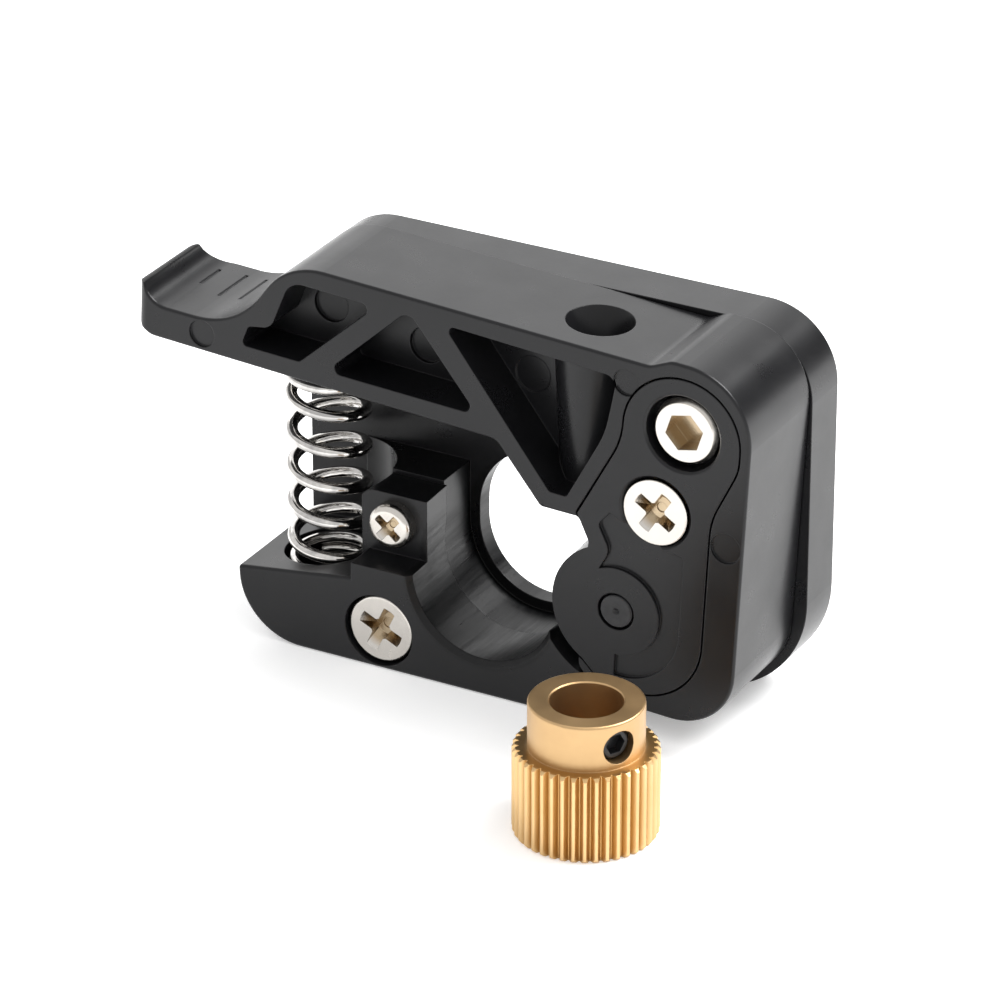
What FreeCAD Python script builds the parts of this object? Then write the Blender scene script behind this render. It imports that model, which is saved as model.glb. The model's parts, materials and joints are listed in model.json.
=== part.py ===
import FreeCAD, Part
import math
import os

# Filament feeder: a fixed housing, a sprung lever with an idler bearing, and a loose drive gear.
# Depths d are measured from the front face of the lever towards the motor; write() moves the
# assembly so that the motor axis and the rear mounting face meet at the origin, front towards -Y.
V = FreeCAD.Vector

# Housing
DEPTH = 13.1            # lever front face to rear mounting face
SEAM = 5.8              # front block to base moulding
WEB_FRONT, WEB_REAR = 9.6, 11.0
RIM_FRONT = 9.12
LEFT, RIGHT, TOP, BOTTOM = -19.1, 20.8, 20.42, -8.3
BLOCK_LEFT = -19.7
HOLE = 15.5             # motor screws, from the motor axis
PILOT_R = 11.05
RING_R_FRONT, RING_R_REAR, LIP_R = 5.65, 6.1, 5.3
LIP_RISE = 1.1          # the hole in the web is this much taller than wide
LEDGE_Z, LEDGE_RISE = -2.95, 1.25
SHELF_Z, POST_Z, REAR_POST_Z = -0.5, 4.15, 4.45
POST_D, POST_LEFT = 2.7, -11.2
BASE_SCREW = (-8.2, -5.35)
POST_SCREW = (-8.3, 1.98)
M3_R, M3_CLEAR_R = 1.5, 1.6
SHANK_R = 1.2           # plain shank of the motor screws; their thread starts at the mounting face
STUD_OUT = 4.0          # screw length behind the mounting face

# Lever, drawn square to the housing and then turned to its closed stop
TILT = 3.0
ARM_DEPTH = 9.0
ARM_UNDER = 11.35       # underside at the thumb end
ARM_UNDER_RIGHT = 11.05
PIN = (11.39, 0.64)
COVER_SCREW = (13.89, 9.07)
COVER_T = 1.8
COVER_GAP = 0.15
COVER_STEP = 0.28
POCKET_FLOOR = 3.6
THUMB_Z = 13.8          # flat of the thumb rest
THUMB_CORNER = 3.0      # rounding of its rear left corner
THUMB_FRONT = 0.8       # rounding of its front left corner
FIL_X, FIL_D, FIL_R = 6.75, 4.35, 1.05
BORE_R, BUSH_R = 2.25, 2.2
CBORE_R, CBORE_FLOOR = 2.84, 4.0

# Idler bearing, 3 x 10 x 4
BRG_D0, BRG_D1, BRG_R = 2.3, 6.3, 5.0
CAVITY_R, CAVITY_D1 = 5.9, 6.6
BALL_R, BALL_PITCH_R, BALLS = 0.79, 3.3, 7

# Spring
SPRING = (-14.75, 4.7)
SPRING_R, WIRE_R = 2.66, 0.43
SPRING_Z0, SPRING_Z1 = -4.3, 12.5
CLEAR_AT, CLEAR_R = (-14.5, 5.2), 4.3

# Drive gear
GEAR_AT = (15.3, -13.1)
GEAR_R, GEAR_TEETH, TOOTH_DEPTH = 5.0, 40, 0.46
GEAR_H, TOOTH_H, HUB_R, GEAR_BORE_R = 9.75, 6.4, 3.97, 2.5
SET_Z, SET_ANGLE, SET_R = 7.95, -28.0, 1.2


def outline(corners):
    """Face in the XZ plane from corners (x, z[, radius]), each rounded to its radius."""
    pts = [V(c[0], 0, c[1]) for c in corners]
    radii = [c[2] if len(c) > 2 else 0.0 for c in corners]
    edges, ends = [], []
    n = len(pts)
    for i in range(n):
        p, r = pts[i], radii[i]
        a = (pts[i - 1] - p).normalize()
        b = (pts[(i + 1) % n] - p).normalize()
        if r <= 0:
            ends.append((p, p, None))
            continue
        half = a.getAngle(b) / 2
        t = r / math.tan(half)
        mid = (a + b).normalize()
        centre = p + mid * (r / math.sin(half))
        ends.append((p + a * t, p + b * t, centre - mid * r))
    for i in range(n):
        start, end, mid = ends[i]
        if mid is not None:
            edges.append(Part.Arc(start, mid, end).toShape())
        nxt = ends[(i + 1) % n][0]
        gap = nxt - end
        if gap.Length > 1e-6:
            if gap.dot(pts[(i + 1) % n] - pts[i]) < 0:
                print("CHECK radii overlap near", corners[i])
            edges.append(Part.makeLine(end, nxt))
    return Part.Face(Part.Wire(edges))


def prism(corners, d0, d1):
    face = outline(corners)
    face.translate(V(0, d0, 0))
    return face.extrude(V(0, d1 - d0, 0))


def rod(at, r, d0, d1):
    return Part.makeCylinder(r, d1 - d0, V(at[0], d0, at[1]), V(0, 1, 0))


def taper(at, r0, r1, d0, d1):
    return Part.makeCone(r0, r1, d1 - d0, V(at[0], d0, at[1]), V(0, 1, 0))


def upright(x, d, r, z0, z1):
    return Part.makeCylinder(r, z1 - z0, V(x, d, z0))


def box(x0, x1, d0, d1, z0, z1):
    return Part.makeBox(x1 - x0, d1 - d0, z1 - z0, V(x0, d0, z0))


def turn(shape, degrees):
    """Turn a shape about the lever pivot, clockwise seen from the front."""
    out = shape.copy()
    out.rotate(V(HOLE, 0, HOLE), V(0, 1, 0), degrees)
    return out


def turned(at, degrees=TILT):
    """Where a point of the lever lies once the lever is turned to its stop."""
    a = math.radians(degrees)
    x, z = at[0] - HOLE, at[1] - HOLE
    return (HOLE + x * math.cos(a) + z * math.sin(a), HOLE - x * math.sin(a) + z * math.cos(a))


def hexagon(at, flats, d0, d1, spin=0):
    r = flats / math.sqrt(3)
    ring = [(at[0] + r * math.cos(math.radians(60 * i + spin)),
             at[1] + r * math.sin(math.radians(60 * i + spin))) for i in range(6)]
    return prism(ring, d0, d1)


def cross_recess(at, span, width, d0, depth, spin=0):
    """Four-armed driver recess: tapering wings round a deeper centre."""
    cone = taper(at, span / 2, span / 2 * 0.5, d0, d0 + depth)
    arms = box(at[0] - span, at[0] + span, d0, d0 + depth, at[1] - width / 2, at[1] + width / 2)
    up = box(at[0] - width / 2, at[0] + width / 2, d0, d0 + depth, at[1] - span, at[1] + span)
    cut = arms.fuse(up).common(cone).fuse(taper(at, width * 0.85, width * 0.4, d0, d0 + depth * 1.1))
    cut.rotate(V(at[0], 0, at[1]), V(0, 1, 0), spin)
    return cut


# ---- Housing ----

def slot_end():
    """Room for the lever's idler end: a round clear of the pin and the space right of it."""
    pin = turned(PIN)
    round_end = rod(pin, 6.1, -1, WEB_FRONT)
    right = prism([(8.0, -4.6), (9.3, BOTTOM - 1), (RIGHT + 1, BOTTOM - 1), (RIGHT + 1, 8), (9, 8)],
                  -1, WEB_FRONT)
    return round_end.fuse(right)


def ledge_outline():
    return [(BLOCK_LEFT, BOTTOM, 5.0), (BLOCK_LEFT, LEDGE_Z, 0.25), (-10.4, LEDGE_Z + LEDGE_RISE),
            (-10.4, SHELF_Z), (-4.0, SHELF_Z), (-4.0, 0.0), (8.0, 0.0), (9.3, BOTTOM)]


def ring_cut(d0, d1, r0, r1):
    """Round opening with draft, carried straight up between its sides."""
    cone = taper((0, 0), r0, r1, d0, d1)
    sides = Part.makeLoft([outline([(-r, 0), (r, 0), (r, 9), (-r, 9)]).OuterWire.translated(V(0, d, 0))
                           for r, d in ((r0, d0), (r1, d1))], True)
    return cone.fuse(sides)


def lower_block(d0, d1):
    """Crescent with the spring ledge, between two depths."""
    return prism(ledge_outline(), d0, d1).cut(slot_end())


def post(left, d0, d1, top, corner):
    return prism([(left, SHELF_Z - 2.5), (left, top, corner), (-RING_R_FRONT + 0.5, top),
                  (-RING_R_FRONT + 0.5, SHELF_Z - 2.5)], d0, d1)


def spring_room():
    return Part.makeCylinder(CLEAR_R, 20, V(CLEAR_AT[0], CLEAR_AT[1], -1.7))


def spring_pocket():
    return upright(SPRING[0], SPRING[1], 3.35, SPRING_Z0 - 0.02, 6)


def outlet():
    return upright(5.9, FIL_D, 1.15, BOTTOM - 1, 0)


def front_block():
    body = lower_block(0, SEAM).fuse(post(POST_LEFT, POST_D, SEAM, POST_Z, 1.3)).removeSplitter()
    mid_r = (RING_R_FRONT + RING_R_REAR) / 2
    body = body.cut(ring_cut(0, SEAM, RING_R_FRONT, mid_r))
    body = body.cut(taper((0, 0), RING_R_FRONT + 0.4, RING_R_FRONT, -0.01, 0.4))
    body = body.cut(taper((0, 0), mid_r - 0.02, mid_r + 0.28, SEAM - 0.3, SEAM))
    body = body.cut(spring_room()).cut(spring_pocket()).cut(outlet())
    body = body.cut(rod(BASE_SCREW, 2.74, -1, 2.2)).cut(rod(BASE_SCREW, M3_CLEAR_R, 0, SEAM + 1))
    body = body.cut(rod(POST_SCREW, 1.1, 0, SEAM + 1))
    outer = [e for e in body.Edges if abs(e.CenterOfMass.y) < 1e-3 and e.Length > 4
             and e.BoundBox.ZMin < BOTTOM + 0.1 and e.CenterOfMass.x < 4]
    return body.makeFillet(0.25, outer)


def plate_outline(inset=0.0):
    g = inset
    return [(LEFT + g, BOTTOM + g, 5.0 - g), (LEFT + g, TOP - g, 5.4 - g), (RIGHT - g, TOP - g, 5.3 - g),
            (RIGHT - g, BOTTOM + g, 8.0 - g)]


def base_plate():
    rim = prism(plate_outline(), RIM_FRONT, WEB_FRONT).cut(prism(plate_outline(1.8), RIM_FRONT - 1, WEB_FRONT))
    rim = rim.cut(box(LEFT - 1, LEFT + 3, 0, WEB_FRONT, BOTTOM - 1, TOP - 2))
    rim = rim.cut(box(LEFT - 1, 0, 0, WEB_FRONT, BOTTOM - 1, BOTTOM + 3))
    body = prism(plate_outline(), WEB_FRONT, DEPTH).fuse(rim).fuse(lower_block(SEAM, WEB_FRONT))
    body = body.fuse(post(CLEAR_AT[0], SEAM, WEB_FRONT, REAR_POST_Z, 0))
    body = body.fuse(rod((HOLE, HOLE), 4.0, RIM_FRONT, WEB_FRONT)).removeSplitter()
    body = body.cut(rod((0, 0), RING_R_REAR, SEAM - 1, WEB_FRONT))
    body = body.cut(box(-RING_R_REAR, RING_R_REAR, SEAM - 1, WEB_FRONT, 0, 9))
    lip = [(x * LIP_R, z * LIP_R + (LIP_RISE if z > 0 else 0), LIP_R)
           for x, z in ((-1, -1), (1, -1), (1, 1), (-1, 1))]
    body = body.cut(prism(lip, WEB_FRONT - 0.1, WEB_REAR + 0.1))
    body = body.cut(rod((0, 0), PILOT_R, WEB_REAR, DEPTH + 1))
    body = body.cut(spring_room()).cut(spring_pocket()).cut(outlet())
    body = body.cut(rod(BASE_SCREW, 2.11, SEAM - 1, 9.9)).cut(rod(BASE_SCREW, M3_CLEAR_R, 9, 10.5))
    body = body.cut(rod(POST_SCREW, 0.86, SEAM - 1, 7.9))
    for x in (-HOLE, HOLE):
        body = body.cut(rod((x, HOLE), M3_CLEAR_R, RIM_FRONT - 1, DEPTH + 1))
    sunk = rod((-HOLE, HOLE), 2.8, WEB_FRONT - 0.01, WEB_FRONT + 0.45)
    return body.cut(sunk.fuse(taper((-HOLE, HOLE), 2.8, 1.6, WEB_FRONT + 0.45, WEB_FRONT + 1.7)))


def thread_end(at, d_end):
    """Threaded end of a motor screw, behind the mounting face."""
    return rod(at, M3_R, DEPTH, d_end - 0.35).fuse(taper(at, M3_R, M3_R - 0.35, d_end - 0.35, d_end))


def cap_screw(at, head_r, head_h, d_head, d_end, flats):
    head = rod(at, head_r, d_head, d_head + head_h)
    rims = [e for e in head.Edges if abs(e.CenterOfMass.y - d_head) < 1e-6]
    head = head.makeChamfer(0.3, rims)
    screw = head.fuse(rod(at, SHANK_R, d_head + head_h, DEPTH)).fuse(thread_end(at, d_end))
    return screw.cut(hexagon(at, flats, d_head - 1, d_head + 1.5, 12)).removeSplitter()


def cross_screw(at, head_r, head_h, shank_r, d_head, d_end, spin, style):
    """Cross-recess screw whose head is sunk (countersunk), flat (cylinder) or domed."""
    rim = {"sunk": 0.06, "flat": 0.22, "domed": head_h * 0.5}[style]
    if style == "sunk":
        head = rod(at, head_r, d_head, d_head + 0.3)
        head = head.fuse(taper(at, head_r, shank_r, d_head + 0.3, d_head + head_h)).removeSplitter()
    else:
        head = rod(at, head_r, d_head, d_head + head_h)
    edges = [e for e in head.Edges if e.BoundBox.YMax < d_head + 1e-6]
    head = head.makeFillet(rim, edges)
    screw = head.fuse(rod(at, shank_r, d_head + head_h, d_end)).removeSplitter()
    return screw.cut(cross_recess(at, head_r * 1.35, head_r * 0.36, d_head - 0.01, head_h * 0.7, spin))


def pivot_bush():
    body = rod((HOLE, HOLE), BUSH_R, 3.9, RIM_FRONT)
    return body.cut(rod((HOLE, HOLE), M3_R + 0.05, 3, RIM_FRONT + 1))


def pivot_washer():
    return rod((HOLE, HOLE), 2.65, 3.4, 3.9).cut(rod((HOLE, HOLE), M3_R + 0.05, 3, 4))


def base_insert():
    return rod(BASE_SCREW, 2.1, SEAM + 0.1, 9.9).cut(rod(BASE_SCREW, M3_R + 0.02, SEAM, 10))


def spring():
    """Left-hand coil: flat end turns, a turn of growing pitch at each end, even pitch between."""
    turns, dead, ramp, phase = 7.44, 0.75, 1.0, 137
    lift = SPRING_Z1 - SPRING_Z0 - 2 * WIRE_R
    closed = 2 * WIRE_R * 0.95
    pitch = (lift - closed * (2 * dead + ramp)) / (turns - 2 * dead - ramp)

    def rise(t):
        """Height gained in the first t turns, counted from the nearer end."""
        u = min(max(t - dead, 0), ramp)
        grown = closed * min(t, dead + ramp) + (pitch - closed) * u * u / (2 * ramp)
        return grown + pitch * max(t - dead - ramp, 0)

    points = []
    steps = int(turns * 16)
    for i in range(steps + 1):
        t = turns * i / steps
        z = rise(t) if t < turns / 2 else lift - rise(turns - t)
        a = math.radians(phase - 360 * t)
        points.append(V(SPRING[0] + SPRING_R * math.cos(a), SPRING[1] + SPRING_R * math.sin(a),
                        SPRING_Z0 + WIRE_R + z))
    curve = Part.BSplineCurve()
    curve.interpolate(points)
    path = Part.Wire([curve.toShape()])
    start = curve.tangent(curve.FirstParameter)[0]
    section = Part.Wire([Part.makeCircle(WIRE_R, points[0], start)])
    coil = path.makePipeShell([section], True, True)
    ground = box(SPRING[0] - 4, SPRING[0] + 4, SPRING[1] - 4, SPRING[1] + 4,
                 SPRING_Z0 + 0.12, SPRING_Z1 - 0.12)
    return coil.common(ground)


# ---- Lever ----

def arm_outline():
    return [(-27.5, ARM_UNDER, 1.5), (-27.5, 15.36, 0.22), (-27.06, 15.36, 0.22), (-26.5, THUMB_Z, 1.9),
            (-19.4, THUMB_Z, 6.3), (-15.57, 19.93, 5.2), (12.7, 19.85, 1.2), (14.3, 20.62, 1.2),
            (20.62, 20.62, 5.12), (20.62, -6.4, 4.6), (10.6, -6.4, 1.6), (8.7, -4.4, 1.0), (8.7, 4.2, 0.2),
            (9.0, 5.4, 0.8), (8.0, 7.0, 0.3), (5.1, 6.95, 0.3), (1.4, ARM_UNDER_RIGHT, 1.0)]


TRUSS = [
    [(-18.95, 12.65, 0.35), (-18.4, 14.25, 0.45), (-16.6, 14.6, 1.1), (-15.2, 18.56, 1.5),
     (-8.3, 18.5, 0.5), (-14.2, 12.65, 0.4)],
    [(-12.1, 12.5, 0.5), (-5.8, 18.9, 0.8), (-0.05, 12.5, 0.5)],
    [(-3.05, 18.62, 0.4), (5.75, 8.3, 0.35), (7.1, 8.3, 0.35), (9.75, 13.9, 8.0), (10.4, 18.35, 0.8)],
]


def cover_shape(d0, d1, grow):
    """Snake-shaped cover: a lobe round the pivot, a stem and a disc round the idler pin."""
    g = grow
    stem = prism([(8.0 - g, 7.3 + g * 0.4, 0.15), (11.1 - g, 13.8, 6.0), (11.15 - g, 19.5 + g, 4.35 + g),
                  (19.8 + g, 19.5 + g, 4.3 + g), (19.8 + g, 13.9, 3.5), (17.98 + g, 9.6, 6.0),
                  (17.98 + g, -5.15 - g, 4.9 + g), (10.6, -5.15 - g, 0.8), (8.9 - g, -3.6, 0.6),
                  (8.9 - g, 4.2, 0.2), (9.0 - g, 5.4, 0.7)], d0, d1)
    return stem.fuse(rod(PIN, 4.95 + g, d0, d1)).removeSplitter()


def thumb_corners():
    """What the rounding of the thumb rest's left corners takes away."""
    x, d, r = -27.5 + THUMB_CORNER, ARM_DEPTH - THUMB_CORNER, THUMB_CORNER
    rear = box(x - r - 1, x, d, d + r + 1, 10, 17).cut(upright(x, d, r, 9, 18))
    x, d, r = -27.5 + THUMB_FRONT, THUMB_FRONT, THUMB_FRONT
    return rear.fuse(box(x - r - 1, x, -1, d, 10, 17).cut(upright(x, d, r, 9, 18)))


def lever_arm():
    blank = prism(arm_outline(), 0, ARM_DEPTH)
    front = [e for e in blank.Edges if e.BoundBox.YMax < 1e-3 and e.BoundBox.ZMax > ARM_UNDER - 0.05
             and e.BoundBox.XMin < 20]
    body = blank.makeFillet(0.2, front).cut(thumb_corners())
    body = body.fuse(rod(PIN, 4.95, 0, ARM_DEPTH)).removeSplitter()
    tube = Part.makeCone(2.1, 3.25, 12.4, V(FIL_X, FIL_D, 7.5))
    for corners in TRUSS:
        body = body.cut(prism(corners, -1, POCKET_FLOOR).cut(tube))
    for x, z, depth in ((-13.85, 15.75, 0.3), (-6.15, 14.7, 0.3), (2.2, 14.82, 0.1)):
        body = body.cut(rod((x, z), 1.35, POCKET_FLOOR - 0.5, POCKET_FLOOR + depth))
    body = body.cut(upright(FIL_X, FIL_D, FIL_R, 5, 22))
    body = body.cut(Part.makeCone(FIL_R, 2.45, 3.2, V(FIL_X, FIL_D, 16.72)))
    body = body.cut(upright(FIL_X, FIL_D, 2.45, 19.9, 22))
    body = body.cut(cover_shape(-1, COVER_T, COVER_GAP))
    cavity = rod(PIN, CAVITY_R, COVER_T - 0.1, CAVITY_D1)
    cavity = cavity.fuse(box(0, PIN[0], COVER_T - 0.1, CAVITY_D1, PIN[1] - CAVITY_R, PIN[1] + 5.2))
    body = body.cut(cavity)
    body = body.cut(rod((HOLE, HOLE), CBORE_R, -1, CBORE_FLOOR))
    body = body.cut(rod((HOLE, HOLE), BORE_R, 0, ARM_DEPTH + 1))
    body = body.cut(rod(COVER_SCREW, 2.01, 0, 6.6))
    body = body.cut(rod(PIN, M3_R + 0.01, 0, ARM_DEPTH - 0.4))
    peg = Part.makeCone(0.9, 1.2, 2.0, V(-14.95, SPRING[1], ARM_UNDER - 2.0))
    body = body.fuse(peg).removeSplitter()
    for x, d0, d1, z in ((-25.2, 4.8, 7.5, 0.0), (-23.1, 3.8, 7.75, 0.0), (-21.4, 3.8, 7.6, 0.18)):
        body = body.cut(Part.makeCylinder(0.13, d1 - d0, V(x, d0, THUMB_Z + z + 0.02), V(0, 1, 0)))
    for x, z, r in ((-22.15, 12.64, 1.02), (11.1, 18.15, 0.98), (19.3, 7.9, 1.13)):
        body = body.cut(rod((x, z), r, -1, 0.2))
    return body


def cover_step():
    """Sunk middle of the cover, between the disc round the pin and the outer rim."""
    area = prism([(11.5, -4.3, 0.1), (16.25, -4.3, 4.4), (16.25, 6.3, 0.3), (14.6, 6.4, 1.0),
                  (10.5, 8.1, 0.15), (9.6, 6.95, 0.5), (10.65, 5.1, 1.2), (9.8, 3.4), (11.5, 0.6)],
                 -1, COVER_STEP)
    return area.cut(rod(PIN, 3.3, -2, 1))


def bearing_cover():
    body = cover_shape(0, COVER_T, 0)
    body = body.fuse(rod(PIN, 2.3, COVER_T - 0.2, BRG_D0 - 0.3))
    body = body.cut(rod((HOLE, HOLE), CBORE_R - 0.05, -1, COVER_T + 1))
    body = body.cut(taper((HOLE, HOLE), CBORE_R + 0.1, CBORE_R - 0.05, -0.001, 0.15))
    body = body.cut(rod(PIN, 1.4, -1, 1.2)).cut(rod(PIN, M3_R + 0.06, 1.1, 4))
    body = body.cut(rod(COVER_SCREW, 2.54, -1, 0.42)).cut(taper(COVER_SCREW, 2.74, 2.52, -0.001, 0.22))
    body = body.cut(taper(COVER_SCREW, 2.54, 1.6, 0.42, 1.55)).cut(rod(COVER_SCREW, 1.6, 0, 3))
    return body.cut(cover_step())


def cover_insert():
    return rod(COVER_SCREW, 2.0, 2.0, 6.4).cut(rod(COVER_SCREW, 1.25, 1, 7))


def idler_pin():
    """Pin with a slimmer end that shows in the cover, and a centre mark in it."""
    end = rod(PIN, 1.24, 0.02, 1.2)
    end = end.makeFillet(0.14, [e for e in end.Edges if e.BoundBox.YMax < 0.03])
    body = end.fuse(rod(PIN, M3_R, 1.2, ARM_DEPTH - 0.45))
    return body.cut(taper(PIN, 0.28, 0.05, 0.0, 0.2))


def ring(at, r_in, r_out, d0, d1):
    return rod(at, r_out, d0, d1).cut(rod(at, r_in, d0 - 1, d1 + 1))


def groove(pin):
    mid = (BRG_D0 + BRG_D1) / 2
    return Part.makeTorus(BALL_PITCH_R, BALL_R + 0.03, V(pin[0], mid, pin[1]), V(0, 1, 0))


def bearing_outer():
    pin = turned(PIN)
    body = ring(pin, 4.05, BRG_R, BRG_D0, BRG_D1).fuse(ring(pin, 3.75, 4.2, BRG_D0 + 0.6, BRG_D1 - 0.6))
    body = body.removeSplitter()
    rims = [e for e in body.Edges if abs(e.BoundBox.ZLength - 2 * BRG_R) < 1e-3]
    return body.makeChamfer(0.2, rims).cut(groove(pin))


def bearing_inner():
    pin = turned(PIN)
    return ring(pin, M3_R + 0.01, 2.6, BRG_D0, BRG_D1).cut(groove(pin))


def shield(front):
    d = BRG_D0 + 0.2 if front else BRG_D1 - 0.4
    return ring(turned(PIN), 2.8, 4.05, d, d + 0.2)


def ball(i):
    pin = turned(PIN)
    a = 2 * math.pi * i / BALLS
    mid = (BRG_D0 + BRG_D1) / 2
    return Part.makeSphere(BALL_R, V(pin[0] + BALL_PITCH_R * math.cos(a), mid,
                                     pin[1] + BALL_PITCH_R * math.sin(a)))


def bearing_cage():
    """Crown cage: a ring beside the balls with a pocket scooped out for each."""
    pin = turned(PIN)
    mid = (BRG_D0 + BRG_D1) / 2
    body = ring(pin, 3.05, 3.55, mid + 0.15, BRG_D1 - 0.55)
    for i in range(BALLS):
        a = 2 * math.pi * i / BALLS
        body = body.cut(Part.makeSphere(BALL_R + 0.05, V(pin[0] + BALL_PITCH_R * math.cos(a), mid,
                                                         pin[1] + BALL_PITCH_R * math.sin(a))))
    return body


# ---- Drive gear ----

def gear_axis_shape(shape):
    shape.translate(V(GEAR_AT[0], GEAR_AT[1], BOTTOM))
    return shape


def drive_gear():
    step = 2 * math.pi / GEAR_TEETH
    edges = []

    def at(r, a):
        return V(r * math.cos(a), r * math.sin(a), 0)

    root = GEAR_R - TOOTH_DEPTH
    shoulder = GEAR_R - 0.06
    for i in range(GEAR_TEETH):
        a = i * step
        tip0, tip1 = at(shoulder, a - 0.16 * step), at(shoulder, a + 0.16 * step)
        foot1, foot2 = at(root + 0.05, a + 0.4 * step), at(root + 0.05, a + 0.6 * step)
        edges.append(Part.Arc(tip0, at(GEAR_R, a), tip1).toShape())
        edges.append(Part.makeLine(tip1, foot1))
        edges.append(Part.Arc(foot1, at(root, a + 0.5 * step), foot2).toShape())
        edges.append(Part.makeLine(foot2, at(shoulder, a + 0.84 * step)))
    teeth = Part.Face(Part.Wire(edges)).extrude(V(0, 0, TOOTH_H))
    blank = Part.makeCylinder(GEAR_R, TOOTH_H)
    rims = [e for e in blank.Edges if e.Length > 2 * math.pi * GEAR_R - 0.1]
    teeth = teeth.common(blank.makeChamfer(0.22, rims))
    hub = Part.makeCylinder(HUB_R, GEAR_H - TOOTH_H + 1, V(0, 0, TOOTH_H - 1))
    top = [e for e in hub.Edges if abs(e.CenterOfMass.z - GEAR_H) < 1e-6]
    body = teeth.fuse(hub.makeFillet(0.16, top)).removeSplitter()
    body = body.cut(Part.makeCylinder(GEAR_BORE_R, GEAR_H + 2, V(0, 0, -1)))
    body = body.cut(Part.makeCone(GEAR_BORE_R, GEAR_BORE_R + 0.08, 0.08, V(0, 0, GEAR_H - 0.08)))
    body = body.cut(Part.makeCone(GEAR_BORE_R + 0.3, GEAR_BORE_R, 0.3))
    body = body.cut(Part.makeCylinder(SET_R + 0.01, 3, V(0, 0, SET_Z) + set_way() * 2, set_way()))
    return gear_axis_shape(body)


def set_way():
    a = math.radians(SET_ANGLE)
    return V(math.cos(a), math.sin(a), 0)


def set_screw():
    """Grub screw just below the hub's surface, with a chamfered rim and a hexagon socket."""
    way = set_way()
    body = Part.makeCylinder(SET_R, 0.6, V(0, 0, SET_Z) + way * 2.55, way)
    body = body.fuse(Part.makeCone(SET_R, SET_R - 0.25, 0.25, V(0, 0, SET_Z) + way * 3.15, way))
    r = 1.3 / math.sqrt(3)
    side = V(-way.y, way.x, 0)
    foot = V(0, 0, SET_Z) + way * 2.7
    ring_pts = [foot + side * (r * math.cos(math.radians(60 * i))) +
                V(0, 0, r * math.sin(math.radians(60 * i))) for i in range(7)]
    socket = Part.Face(Part.makePolygon(ring_pts)).extrude(way * 3)
    return gear_axis_shape(body.cut(socket))


def write(name, shape):
    out = shape.copy()
    out.translate(V(0, -DEPTH, 0))
    solids = out.Solids
    if len(solids) != 1 or not out.isValid():
        print("CHECK", name, "solids", len(solids), "valid", out.isValid())
    out = solids[0] if len(solids) == 1 else out
    out.exportStep(os.path.join("parts", name + ".step"))
    b = out.BoundBox
    print("%-16s vol %9.2f  x %.2f..%.2f y %.2f..%.2f z %.2f..%.2f" % (
        name, out.Volume, b.XMin, b.XMax, b.YMin, b.YMax, b.ZMin, b.ZMax))


os.makedirs("parts", exist_ok=True)
write("base_plate", base_plate())
write("front_block", front_block())
write("base_screw", cross_screw(BASE_SCREW, 2.58, 1.6, M3_R, 0.3, 10.3, 25, "flat"))
write("base_insert", base_insert())
write("post_screw", cross_screw(POST_SCREW, 1.7, 1.1, 0.85, POST_D - 1.11, 7.6, 40, "domed"))
motor_screw = cross_screw((-HOLE, HOLE), 2.7, 1.5, SHANK_R, WEB_FRONT + 0.05, DEPTH + 0.01, 15, "sunk")
write("motor_screw", motor_screw.fuse(thread_end((-HOLE, HOLE), DEPTH + STUD_OUT)).removeSplitter())
write("pivot_bush", pivot_bush())
write("pivot_washer", pivot_washer())
write("pivot_screw", cap_screw((HOLE, HOLE), 2.45, 3.1, 0.3, DEPTH + STUD_OUT, 2.5))
write("spring", spring())
write("lever_arm", turn(lever_arm(), TILT))
write("bearing_cover", turn(bearing_cover(), TILT))
write("cover_screw", turn(cross_screw(COVER_SCREW, 2.42, 1.45, 1.24, -0.02, 6.2, 30, "sunk"), TILT))
write("cover_insert", turn(cover_insert(), TILT))
write("idler_pin", turn(idler_pin(), TILT))
write("shim_front", turn(ring(PIN, M3_R + 0.03, 2.35, BRG_D0 - 0.3, BRG_D0), TILT))
write("shim_rear", turn(ring(PIN, M3_R + 0.03, 2.35, BRG_D1, CAVITY_D1), TILT))
write("bearing_inner", bearing_inner())
write("bearing_outer", bearing_outer())
write("shield_front", shield(True))
write("shield_rear", shield(False))
write("bearing_cage", bearing_cage())
for n in range(BALLS):
    write("ball_%d" % (n + 1), ball(n))
write("drive_gear", drive_gear())
write("set_screw", set_screw())
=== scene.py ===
import json
import math

import bpy
from mathutils import Matrix, Vector


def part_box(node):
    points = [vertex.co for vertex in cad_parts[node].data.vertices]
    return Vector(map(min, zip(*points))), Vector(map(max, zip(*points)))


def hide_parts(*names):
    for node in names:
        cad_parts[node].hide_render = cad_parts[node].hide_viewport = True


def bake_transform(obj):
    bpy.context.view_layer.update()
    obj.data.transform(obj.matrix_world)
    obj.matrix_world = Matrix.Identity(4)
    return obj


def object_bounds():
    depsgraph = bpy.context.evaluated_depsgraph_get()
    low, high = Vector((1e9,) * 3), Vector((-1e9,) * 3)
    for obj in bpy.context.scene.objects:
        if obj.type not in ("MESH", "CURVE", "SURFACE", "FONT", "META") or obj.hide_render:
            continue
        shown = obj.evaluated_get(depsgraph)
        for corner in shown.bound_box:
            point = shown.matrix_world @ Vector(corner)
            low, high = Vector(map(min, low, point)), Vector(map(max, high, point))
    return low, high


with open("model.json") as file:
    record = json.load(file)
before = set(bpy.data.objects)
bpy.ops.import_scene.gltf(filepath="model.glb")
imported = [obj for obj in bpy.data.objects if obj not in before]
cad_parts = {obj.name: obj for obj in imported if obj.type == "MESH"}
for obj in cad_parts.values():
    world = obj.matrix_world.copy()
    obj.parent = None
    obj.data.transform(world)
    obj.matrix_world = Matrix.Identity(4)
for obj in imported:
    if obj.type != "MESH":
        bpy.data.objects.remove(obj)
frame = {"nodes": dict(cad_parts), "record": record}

cad_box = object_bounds()
nodes = frame["nodes"]
MM = 0.001

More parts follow.
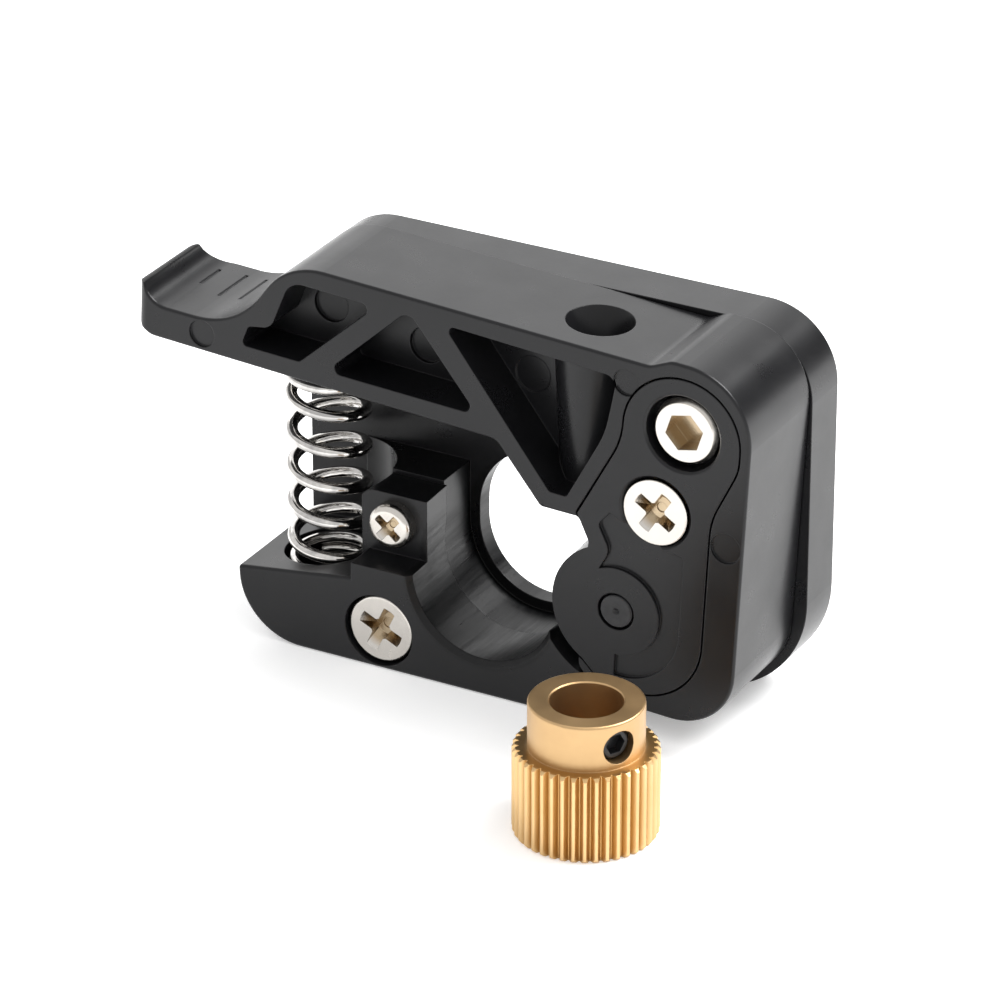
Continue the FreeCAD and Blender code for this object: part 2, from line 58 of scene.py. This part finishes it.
FINE_BUMP = 0.01 * MM       # height of grain, die lines and turning marks
SCRATCH_BUMP = 0.04 * MM    # height of the scratches in the round opening
BEVEL_SAMPLES = 6
PLASTIC_EDGE = 0.12 * MM    # width of the soft edges
NICKEL_EDGE = 0.06 * MM
OXIDE_EDGE = 0.05 * MM
WALL_R = (6.2 * MM, 6.4 * MM)            # the round opening's wall, between these radii
RECESS_FROM = (0.15 * MM, 0.60 * MM)     # a screw recess, in depth behind the head's face
RECESS_TO = (2.8 * MM, 3.4 * MM)
RECESS_R = (0.72, 0.80)                  # and in radius, as a share of the head's
GROOVE_R = (4.58 * MM, 4.94 * MM)        # gear: floor and tip of the tooth gaps
HUB_R = (4.02 * MM, 4.20 * MM)           # gear: edge of the hub

NICKEL = (0.60, 0.57, 0.53)
# darker, warmer painted shade for a screw's recess
RECESS_PAINTED_SHADE = (0.42, 0.33, 0.22, 1)
# near-black painted shade for the inside of the round opening
BORE_PAINTED_SHADE = (0.0022, 0.0022, 0.0026, 1)


# ---- Node helpers ----

class Tree:
    """A material's node tree with short calls for making and linking nodes."""

    def __init__(self, name):
        self.mat = bpy.data.materials.new(name)
        self.mat.use_nodes = True
        self.nt = self.mat.node_tree
        self.nt.nodes.clear()
        self.out = self.nt.nodes.new("ShaderNodeOutputMaterial")
        self.bsdf = self.nt.nodes.new("ShaderNodeBsdfPrincipled")
        self.link(self.bsdf.outputs[0], self.out.inputs["Surface"])
        self.coord = self.nt.nodes.new("ShaderNodeTexCoord").outputs["Object"]

    def link(self, a, b):
        self.nt.links.new(a, b)

    def put(self, socket, value):
        if hasattr(value, "is_output"):
            self.link(value, socket)
        else:
            socket.default_value = value

    def mapped(self, scale=(1, 1, 1), shift=(0, 0, 0)):
        n = self.nt.nodes.new("ShaderNodeMapping")
        self.link(self.coord, n.inputs["Vector"])
        n.inputs["Scale"].default_value = scale
        n.inputs["Location"].default_value = shift
        return n.outputs[0]

    def noise(self, scale, detail=3.0, rough=0.55, vector=None, distort=0.0):
        n = self.nt.nodes.new("ShaderNodeTexNoise")
        self.link(vector or self.coord, n.inputs["Vector"])
        n.inputs["Scale"].default_value = scale
        n.inputs["Detail"].default_value = detail
        n.inputs["Roughness"].default_value = rough
        n.inputs["Distortion"].default_value = distort
        return n.outputs["Fac"]

    def ramp(self, fac, stops):
        n = self.nt.nodes.new("ShaderNodeValToRGB")
        self.link(fac, n.inputs["Fac"])
        while len(n.color_ramp.elements) < len(stops):
            n.color_ramp.elements.new(0.5)
        for e, (pos, colour) in zip(n.color_ramp.elements, stops):
            e.position = pos
            e.color = (*colour, 1.0)
        return n.outputs["Color"]

    def remap(self, fac, a, b, lo=0.0, hi=1.0):
        n = self.nt.nodes.new("ShaderNodeMapRange")
        self.link(fac, n.inputs["Value"])
        n.inputs["From Min"].default_value = lo
        n.inputs["From Max"].default_value = hi
        n.inputs["To Min"].default_value = a
        n.inputs["To Max"].default_value = b
        return n.outputs["Result"]

    def math(self, op, a, b=0.0):
        n = self.nt.nodes.new("ShaderNodeMath")
        n.operation = op
        self.put(n.inputs[0], a)
        self.put(n.inputs[1], b)
        return n.outputs[0]

    def mix(self, fac, a, b):
        n = self.nt.nodes.new("ShaderNodeMix")
        n.data_type = "RGBA"
        self.put(n.inputs["Factor"], fac)
        self.put(n.inputs[6], a)
        self.put(n.inputs[7], b)
        return n.outputs[2]

    def xyz(self, vector=None):
        n = self.nt.nodes.new("ShaderNodeSeparateXYZ")
        self.link(vector or self.coord, n.inputs[0])
        return n.outputs

    def distance(self, a, b):
        """Distance from the axis that the two coordinates are measured from."""
        squares = [self.math("MULTIPLY", v, v) for v in (a, b)]
        return self.math("SQRT", self.math("ADD", *squares))

    def bevel(self, radius):
        n = self.nt.nodes.new("ShaderNodeBevel")
        n.samples = BEVEL_SAMPLES
        n.inputs["Radius"].default_value = radius
        return n.outputs[0]

    def bump(self, height, strength, normal=None, distance=FINE_BUMP):
        n = self.nt.nodes.new("ShaderNodeBump")
        self.link(height, n.inputs["Height"])
        n.inputs["Strength"].default_value = strength
        n.inputs["Distance"].default_value = distance
        if normal is not None:
            self.link(normal, n.inputs["Normal"])
        return n.outputs[0]

    def set(self, **values):
        names = {"color": "Base Color", "rough": "Roughness", "metal": "Metallic",
                 "normal": "Normal", "spec": "Specular IOR Level"}
        for key, value in values.items():
            self.put(self.bsdf.inputs[names[key]], value)
        return self.mat


def plastic(name, bored=False):
    """Satin moulded black: fine grain, faint flow marks, edges that catch the light.

    A bored moulding also has fine scratches along the wall of its round opening, and painted shade
    darkens the opening."""
    t = Tree(name)
    grain = t.noise(3200, 2.0, 0.5)
    flow = t.noise(90, 3.0, 0.5, t.mapped((1.0, 1.6, 1.0)), 0.4)
    haze = t.noise(300, 2.0, 0.5)
    color = t.ramp(flow, [(0.3, (0.0052, 0.0052, 0.0060)), (0.7, (0.0078, 0.0078, 0.0088))])
    rough = t.math("ADD", t.remap(haze, 0.27, 0.33, 0.3, 0.7), t.remap(grain, -0.025, 0.025))
    normal = t.bump(grain, 0.03, t.bevel(PLASTIC_EDGE))
    if bored:
        x, y, z = t.xyz()
        inside = t.remap(t.distance(x, z), 1.0, 0.0, *WALL_R)
        scratches = t.noise(2400, 3.0, 0.65, t.mapped((1.0, 0.05, 1.0)))
        # painted shade: the round opening's wall and everything inside it are coloured near black
        color = t.mix(inside, color, BORE_PAINTED_SHADE)
        dull = t.math("MULTIPLY", inside, t.remap(scratches, -0.02, 0.14, 0.35, 0.65))
        rough = t.math("ADD", rough, dull)
        normal = t.bump(t.math("MULTIPLY", inside, scratches), 0.35, normal, SCRATCH_BUMP)
    return t.set(color=color, rough=rough, normal=normal, spec=0.28)


def nickel(name, tint, rough_lo, rough_hi, screw_box=None):
    """Plated or ground steel. If a screw's box is given, its recess is painted darker and warmer
    as shade.
    """
    t = Tree(name)
    smudge = t.noise(900, 4.0, 0.6)
    fine = t.noise(6000, 2.0, 0.5)
    dimmed = (*[c * 0.92 for c in tint], 1)
    color = t.mix(t.remap(smudge, 0.0, 1.0, 0.35, 0.7), dimmed, (*tint, 1))
    if screw_box is not None:
        low, high = screw_box
        head_r = (high.x - low.x) / 2
        axis = ((low.x + high.x) / 2, low.y, (low.z + high.z) / 2)
        x, y, z = t.xyz(t.mapped(shift=[-v for v in axis]))
        inside = t.remap(t.distance(x, z), 1.0, 0.0, *[share * head_r for share in RECESS_R])
        recess = t.math("MULTIPLY", t.remap(y, 0.0, 1.0, *RECESS_FROM),
                        t.remap(y, 1.0, 0.0, *RECESS_TO))
        # painted shade: the screw's recess is coloured darker and warmer than the plating
        color = t.mix(t.math("MULTIPLY", recess, inside), color, RECESS_PAINTED_SHADE)
    return t.set(color=color, metal=1.0, rough=t.remap(smudge, rough_lo, rough_hi, 0.3, 0.7),
                 normal=t.bump(fine, 0.06, t.bevel(NICKEL_EDGE)))


def drawn_steel():
    """Bright drawn wire with faint die lines and darker specks."""
    t = Tree("drawn_steel")
    lines = t.noise(2600, 3.0, 0.6, t.mapped((1, 1, 9)))
    spots = t.noise(700, 3.0, 0.6)
    color = t.mix(t.remap(spots, 0, 1, 0.4, 0.65), (0.42, 0.41, 0.40, 1), (0.66, 0.64, 0.61, 1))
    return t.set(color=color, metal=1.0, rough=t.remap(lines, 0.06, 0.14, 0.3, 0.7),
                 normal=t.bump(lines, 0.06))


def gear_brass():
    """Machined brass: turning marks round the axis, painted shade in the tooth gaps and a darker,
    painted-shade brass on the hub.
    """
    t = Tree("machined_brass")
    low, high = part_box("drive_gear")
    centre = (low + high) / 2
    x, y, z = t.xyz(t.mapped(shift=(-centre.x, -centre.y, 0)))
    radius = t.distance(x, y)
    turned = t.nt.nodes.new("ShaderNodeCombineXYZ")
    t.link(radius, turned.inputs[0])
    t.link(z, turned.inputs[2])
    marks = t.noise(9000, 2.0, 0.6, turned.outputs[0])
    cloud = t.noise(350, 3.0, 0.5)
    patches = t.remap(cloud, 0, 1, 0.35, 0.7)
    hub = t.remap(radius, 1.0, 0.0, *HUB_R)
    # painted shade: the hub is a darker copy of the tips' brass
    hub_shaded_brass = t.mix(patches, (0.50, 0.33, 0.165, 1), (0.56, 0.375, 0.19, 1))
    tip_brass = t.mix(patches, (0.64, 0.43, 0.205, 1), (0.70, 0.48, 0.245, 1))
    # painted shade: the tooth gaps grade from darker brass at their floor to the tips' brass
    teeth = t.mix(t.remap(radius, 0.0, 1.0, *GROOVE_R), (0.47, 0.29, 0.115, 1), tip_brass)
    color = t.mix(hub, teeth, hub_shaded_brass)
    rough = t.math("ADD", t.remap(cloud, 0.32, 0.38, 0.3, 0.7), t.remap(marks, -0.04, 0.04))
    rough = t.math("ADD", rough, t.math("MULTIPLY", hub, 0.07))
    return t.set(color=color, metal=1.0, rough=rough,
                 normal=t.bump(marks, 0.06, t.bevel(NICKEL_EDGE)))


def oxide():
    """Black oxide with small worn patches, for the idler pin and the grub screw."""
    t = Tree("black_oxide")
    wear = t.noise(1500, 4.0, 0.65)
    color = t.ramp(wear, [(0.35, (0.008, 0.008, 0.009)), (0.75, (0.020, 0.020, 0.022))])
    return t.set(color=color, rough=t.remap(wear, 0.28, 0.42), spec=0.35,
                 normal=t.bump(wear, 0.10, t.bevel(OXIDE_EDGE)))


MATERIALS = {
    "black_plastic": plastic("moulded_black"),
    "plain_steel": nickel("plain_steel", (0.62, 0.62, 0.63), 0.25, 0.40),
    "dark_pin": oxide(),
    "spring_steel": drawn_steel(),
    "insert_brass": nickel("insert_brass", (0.78, 0.56, 0.28), 0.25, 0.40),
    "bearing_steel": nickel("ground_steel", (0.70, 0.70, 0.71), 0.12, 0.22),
    "gear_brass": gear_brass(),
}
MATERIALS["black_steel"] = MATERIALS["dark_pin"]
BORED = plastic("moulded_black_bored", bored=True)

for part in frame["record"]["subparts"]:
    name, slot = part["node"], part["material_slot"]
    if name in ("base_plate", "front_block"):
        material = BORED
    elif slot == "nickel_steel":
        material = nickel("nickel_" + name, NICKEL, 0.16, 0.28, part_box(name))
    else:
        material = MATERIALS[slot]
    mesh = nodes[name].data
    mesh.materials.clear()
    mesh.materials.append(material)


# ---- Spring ----
# The spring's mesh is copied into its own coil object, and the CAD spring is hidden.

coil = bpy.data.objects.new("coil_spring", nodes["spring"].data.copy())
bpy.context.scene.collection.objects.link(coil)
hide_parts("spring")
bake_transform(coil)


# ---- Floor, light and camera ----

FLOOR_GAP = 0.02 * MM       # keeps the floor just clear of the part's lowest face
FLOOR_SIZE = 3.0
FLOOR_GLOW = 0.3            # lifts the floor to the white of a product shot

bpy.ops.mesh.primitive_plane_add(size=FLOOR_SIZE, location=(0, 0, cad_box[0][2] - FLOOR_GAP))
floor = bpy.context.object
floor.name = "floor"
ground = Tree("pale_floor")
paper = ground.ramp(ground.noise(3.0), [(0.0, (0.93, 0.93, 0.93)), (1.0, (0.95, 0.95, 0.95))])
floor.data.materials.append(ground.set(color=paper, rough=0.9))
ground.bsdf.inputs["Emission Color"].default_value = (1, 1, 1, 1)
ground.bsdf.inputs["Emission Strength"].default_value = FLOOR_GLOW

# A white surround, with a dark flag at the upper back right so that rounded edges there stay dark.
FLAG_WAY = (0.445, 0.786, 0.43)
FLAG_EDGE = (0.78, 0.95)    # cosine of the angle from FLAG_WAY, at the flag's outer and inner edge
FLAG_LIGHT = 0.12

bpy.context.scene.view_settings.view_transform = "Standard"
world = bpy.data.worlds.new("studio")
bpy.context.scene.world = world
world.use_nodes = True
world.node_tree.nodes["Background"].inputs[0].default_value = (1.0, 1.0, 1.0, 1)
sky = world.node_tree
to_flag = sky.nodes.new("ShaderNodeVectorMath")
to_flag.operation = "DOT_PRODUCT"
to_flag.inputs[1].default_value = FLAG_WAY
flag = sky.nodes.new("ShaderNodeMapRange")
flag.interpolation_type = "SMOOTHSTEP"
flag_range = (*FLAG_EDGE, 1.0, FLAG_LIGHT)
for socket, value in zip(("From Min", "From Max", "To Min", "To Max"), flag_range):
    flag.inputs[socket].default_value = value
way = sky.nodes.new("ShaderNodeTexCoord").outputs["Generated"]
sky.links.new(way, to_flag.inputs[0])
sky.links.new(to_flag.outputs["Value"], flag.inputs["Value"])
sky.links.new(flag.outputs["Result"], sky.nodes["Background"].inputs["Strength"])


def softbox(name, at, target, size, radiance):
    light = bpy.data.lights.new(name, "AREA")
    light.shape = "RECTANGLE"
    light.size, light.size_y = size
    light.energy = radiance * math.pi * size[0] * size[1]
    obj = bpy.data.objects.new(name, light)
    bpy.context.scene.collection.objects.link(obj)
    obj.location = at
    way = Vector(target) - Vector(at)
    obj.rotation_euler = way.to_track_quat("-Z", "Y").to_euler()


softbox("key_back_right", (0.30, 0.30, 0.55), (0.01, -0.01, 0), (0.40, 0.40), 14.0)
softbox("back_panel", (-0.30, 0.55, 0.33), (0, 0, 0.01), (0.90, 0.45), 1.1)

CAMERA_AT = Vector((170.171, -321.273, 181.895)) * MM
AZIMUTH, ELEVATION = math.radians(28.683), math.radians(26.431)
LENS, SENSOR = 205.2, 36.0

camera_data = bpy.data.cameras.new("camera")
camera_data.sensor_width = SENSOR
camera_data.lens = LENS
camera_data.clip_start = 10 * MM
camera = bpy.data.objects.new("camera", camera_data)
bpy.context.scene.collection.objects.link(camera)
back = Vector((math.sin(AZIMUTH) * math.cos(ELEVATION),
               -math.cos(AZIMUTH) * math.cos(ELEVATION),
               math.sin(ELEVATION)))
right = Vector((math.cos(AZIMUTH), math.sin(AZIMUTH), 0))
up = back.cross(right)
turn = Matrix((right, up, back)).transposed().to_4x4()
camera.matrix_world = Matrix.Translation(CAMERA_AT) @ turn
bpy.context.scene.camera = camera
